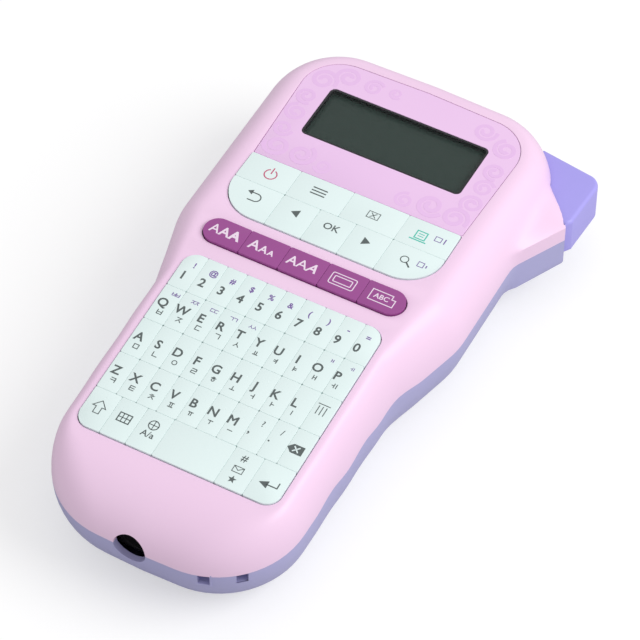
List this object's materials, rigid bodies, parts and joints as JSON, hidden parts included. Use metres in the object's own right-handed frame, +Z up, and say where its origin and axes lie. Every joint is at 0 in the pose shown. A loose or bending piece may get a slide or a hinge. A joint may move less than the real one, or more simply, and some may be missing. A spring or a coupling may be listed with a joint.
{
  "type": "label maker",
  "caption": "Handheld label maker with keyboard, small screen, side cutter lever and a lift-off back cover over its cells and tape cassette.",
  "frame": {"origin": "on the resting face of the back cover, under the centreline and level with the top of the keyboard", "axes": "+Y towards the screen end, +X to the right as the screen is read, +Z up out of the face"},
  "size_m": [0.1156, 0.2069, 0.0458],
  "materials": {
    "pink_shell": "satin",
    "lavender_shell": "satin",
    "violet_lever": "satin",
    "display_film": "gloss",
    "lens": "gloss",
    "lcd": "gloss",
    "board": "satin",
    "silicone": "matt",
    "flex": "satin",
    "jack_plastic": "matt",
    "cells": "gloss",
    "spring_steel": "satin",
    "motor_can": "satin",
    "gear_plastic": "satin",
    "roller_rubber": "matt",
    "black_plastic": "matt",
    "head_metal": "satin",
    "blade_steel": "polished",
    "cassette_plastic": "satin",
    "tape": "matt",
    "white_key": "satin",
    "mauve_key": "satin"
  },
  "bodies": {
    "case": {"front_case": "pink_shell", "back_case": "lavender_shell", "display_panel": "display_film", "lcd_window": "lens", "lcd_module": "lcd", "display_board": "board", "upper_key_mat": "silicone", "key_mat": "silicone", "main_board": "board", "flex_cable": "flex", "dc_jack": "jack_plastic", "battery_cells": "cells", "battery_springs": "spring_steel", "battery_plates": "spring_steel", "mech_chassis": "spring_steel", "motor": "motor_can", "holder_spring": "spring_steel", "print_head": "head_metal", "gear_posts": "spring_steel", "lever_pin": "spring_steel", "lever_spring": "spring_steel", "cassette_shell": "cassette_plastic", "tape_roll": "tape", "label_tape": "tape", "tape_outlet": "black_plastic", "case_screws": "spring_steel"},
    "cover": {"back_cover": "lavender_shell"},
    "worm": {"motor_worm": "gear_plastic"},
    "wheel": {"reduction_wheel": "gear_plastic"},
    "idler": {"idler_gear": "gear_plastic"},
    "holder": {"roller_holder": "black_plastic"},
    "platen": {"platen_roller": "roller_rubber", "platen_gear": "gear_plastic"},
    "spindle": {"ribbon_spindle": "gear_plastic"},
    "lever": {"cutter_lever": "violet_lever"},
    "blade": {"cutter_blade": "blade_steel"},
    "digit_keys": {"digit_keys": "white_key"},
    "upper_letter_keys": {"upper_letter_keys": "white_key"},
    "middle_letter_keys": {"middle_letter_keys": "white_key"},
    "lower_letter_keys": {"lower_letter_keys": "white_key"},
    "shift_key": {"shift_key": "white_key"},
    "mode_key": {"mode_key": "white_key"},
    "input_key": {"input_key": "white_key"},
    "space_key": {"space_key": "white_key"},
    "symbol_key": {"symbol_key": "white_key"},
    "return_key": {"return_key": "white_key"},
    "power_key": {"power_key": "white_key"},
    "menu_key": {"menu_key": "white_key"},
    "clear_key": {"clear_key": "white_key"},
    "print_key": {"print_key": "white_key"},
    "cancel_key": {"cancel_key": "white_key"},
    "left_key": {"left_key": "white_key"},
    "ok_key": {"ok_key": "white_key"},
    "right_key": {"right_key": "white_key"},
    "preview_key": {"preview_key": "white_key"},
    "font_key": {"font_key": "mauve_key"},
    "size_key": {"size_key": "mauve_key"},
    "style_key": {"style_key": "mauve_key"},
    "frame_key": {"frame_key": "mauve_key"},
    "label_key": {"label_key": "mauve_key"}
  },
  "joints": [
    {"name": "cover_lift", "type": "slide", "parent": "case", "child": "cover", "axis": [0, 0, -1], "range_m": [0, 0.045]},
    {"name": "lever_press", "type": "hinge", "parent": "case", "child": "lever", "pos_m": [0.0535, 0.077, 0.023], "axis": [0, 0, 1], "range_deg": [0, 6], "stiffness_Nm_per_rad": 0.6, "springref_deg": -5.73},
    {"name": "blade_slide", "type": "slide", "parent": "case", "child": "blade", "axis": [-1, 0, 0], "range_m": [0, 0.00172]},
    {"name": "holder_swing", "type": "hinge", "parent": "case", "child": "holder", "pos_m": [0.041, 0.044, 0.012], "axis": [0, 0, 1], "range_deg": [-3.5, 0], "stiffness_Nm_per_rad": 0.4, "springref_deg": 2.86, "deforming": ["holder_spring"]},
    {"name": "platen_spin", "type": "hinge", "parent": "holder", "child": "platen", "pos_m": [0.0362, 0.062, 0.012], "axis": [0, 0, 1], "continuous": true},
    {"name": "idler_spin", "type": "hinge", "parent": "case", "child": "idler", "pos_m": [0.02272, 0.05542, 0.025], "axis": [0, 0, 1], "continuous": true},
    {"name": "wheel_spin", "type": "hinge", "parent": "case", "child": "wheel", "pos_m": [0.01088, 0.05973, 0.027], "axis": [0, 0, 1], "continuous": true},
    {"name": "spindle_spin", "type": "hinge", "parent": "case", "child": "spindle", "pos_m": [0.01252, 0.04283, 0.02], "axis": [0, 0, 1], "continuous": true},
    {"name": "worm_spin", "type": "hinge", "parent": "case", "child": "worm", "pos_m": [0.01088, 0.07388, 0.0291], "axis": [1, 0, 0], "continuous": true},
    {"name": "digit_keys_press", "type": "slide", "parent": "case", "child": "digit_keys", "axis": [0, 0.0509, -0.9987], "range_m": [0, 0.0008], "stiffness_N_per_m": 400, "springref_m": -0.0004},
    {"name": "upper_letter_keys_press", "type": "slide", "parent": "case", "child": "upper_letter_keys", "axis": [0, 0.0509, -0.9987], "range_m": [0, 0.0008], "stiffness_N_per_m": 400, "springref_m": -0.0004},
    {"name": "middle_letter_keys_press", "type": "slide", "parent": "case", "child": "middle_letter_keys", "axis": [0, 0.0509, -0.9987], "range_m": [0, 0.0008], "stiffness_N_per_m": 400, "springref_m": -0.0004},
    {"name": "lower_letter_keys_press", "type": "slide", "parent": "case", "child": "lower_letter_keys", "axis": [0, 0.0509, -0.9987], "range_m": [0, 0.0008], "stiffness_N_per_m": 400, "springref_m": -0.0004},
    {"name": "shift_key_press", "type": "slide", "parent": "case", "child": "shift_key", "axis": [0, 0.0509, -0.9987], "range_m": [0, 0.0008], "stiffness_N_per_m": 250, "springref_m": -0.0004},
    {"name": "mode_key_press", "type": "slide", "parent": "case", "child": "mode_key", "axis": [0, 0.0509, -0.9987], "range_m": [0, 0.0008], "stiffness_N_per_m": 250, "springref_m": -0.0004},
    {"name": "input_key_press", "type": "slide", "parent": "case", "child": "input_key", "axis": [0, 0.0509, -0.9987], "range_m": [0, 0.0008], "stiffness_N_per_m": 250, "springref_m": -0.0004},
    {"name": "space_key_press", "type": "slide", "parent": "case", "child": "space_key", "axis": [0, 0.0509, -0.9987], "range_m": [0, 0.0008], "stiffness_N_per_m": 250, "springref_m": -0.0004},
    {"name": "symbol_key_press", "type": "slide", "parent": "case", "child": "symbol_key", "axis": [0, 0.0509, -0.9987], "range_m": [0, 0.0008], "stiffness_N_per_m": 250, "springref_m": -0.0004},
    {"name": "return_key_press", "type": "slide", "parent": "case", "child": "return_key", "axis": [0, 0.0509, -0.9987], "range_m": [0, 0.0008], "stiffness_N_per_m": 250, "springref_m": -0.0004},
    {"name": "power_key_press", "type": "slide", "parent": "case", "child": "power_key", "axis": [0, -0.034, -0.9994], "range_m": [0, 0.0008], "stiffness_N_per_m": 250, "springref_m": -0.0004},
    {"name": "menu_key_press", "type": "slide", "parent": "case", "child": "menu_key", "axis": [0, -0.034, -0.9994], "range_m": [0, 0.0008], "stiffness_N_per_m": 250, "springref_m": -0.0004},
    {"name": "clear_key_press", "type": "slide", "parent": "case", "child": "clear_key", "axis": [0, -0.034, -0.9994], "range_m": [0, 0.0008], "stiffness_N_per_m": 250, "springref_m": -0.0004},
    {"name": "print_key_press", "type": "slide", "parent": "case", "child": "print_key", "axis": [0, -0.034, -0.9994], "range_m": [0, 0.0008], "stiffness_N_per_m": 250, "springref_m": -0.0004},
    {"name": "cancel_key_press", "type": "slide", "parent": "case", "child": "cancel_key", "axis": [0, -0.034, -0.9994], "range_m": [0, 0.0008], "stiffness_N_per_m": 250, "springref_m": -0.0004},
    {"name": "left_key_press", "type": "slide", "parent": "case", "child": "left_key", "axis": [0, -0.034, -0.9994], "range_m": [0, 0.0008], "stiffness_N_per_m": 250, "springref_m": -0.0004},
    {"name": "ok_key_press", "type": "slide", "parent": "case", "child": "ok_key", "axis": [0, -0.034, -0.9994], "range_m": [0, 0.0008], "stiffness_N_per_m": 250, "springref_m": -0.0004},
    {"name": "right_key_press", "type": "slide", "parent": "case", "child": "right_key", "axis": [0, -0.034, -0.9994], "range_m": [0, 0.0008], "stiffness_N_per_m": 250, "springref_m": -0.0004},
    {"name": "preview_key_press", "type": "slide", "parent": "case", "child": "preview_key", "axis": [0, -0.034, -0.9994], "range_m": [0, 0.0008], "stiffness_N_per_m": 250, "springref_m": -0.0004},
    {"name": "font_key_press", "type": "slide", "parent": "case", "child": "font_key", "axis": [0, 0, -1], "range_m": [0, 0.0007], "stiffness_N_per_m": 250, "springref_m": -0.0004},
    {"name": "size_key_press", "type": "slide", "parent": "case", "child": "size_key", "axis": [0, 0, -1], "range_m": [0, 0.0007], "stiffness_N_per_m": 250, "springref_m": -0.0004},
    {"name": "style_key_press", "type": "slide", "parent": "case", "child": "style_key", "axis": [0, 0, -1], "range_m": [0, 0.0007], "stiffness_N_per_m": 250, "springref_m": -0.0004},
    {"name": "frame_key_press", "type": "slide", "parent": "case", "child": "frame_key", "axis": [0, 0, -1], "range_m": [0, 0.0007], "stiffness_N_per_m": 250, "springref_m": -0.0004},
    {"name": "label_key_press", "type": "slide", "parent": "case", "child": "label_key", "axis": [0, 0, -1], "range_m": [0, 0.0007], "stiffness_N_per_m": 250, "springref_m": -0.0004}
  ],
  "couplings": [
    {"joint": "blade_slide", "follows": "lever_press", "m_per_rad": 0.0164},
    {"joint": "idler_spin", "follows": "platen_spin", "ratio": -0.66667},
    {"joint": "wheel_spin", "follows": "platen_spin", "ratio": 1.6667},
    {"joint": "spindle_spin", "follows": "platen_spin", "ratio": 0.83333},
    {"joint": "worm_spin", "follows": "platen_spin", "ratio": 60}
  ]
}
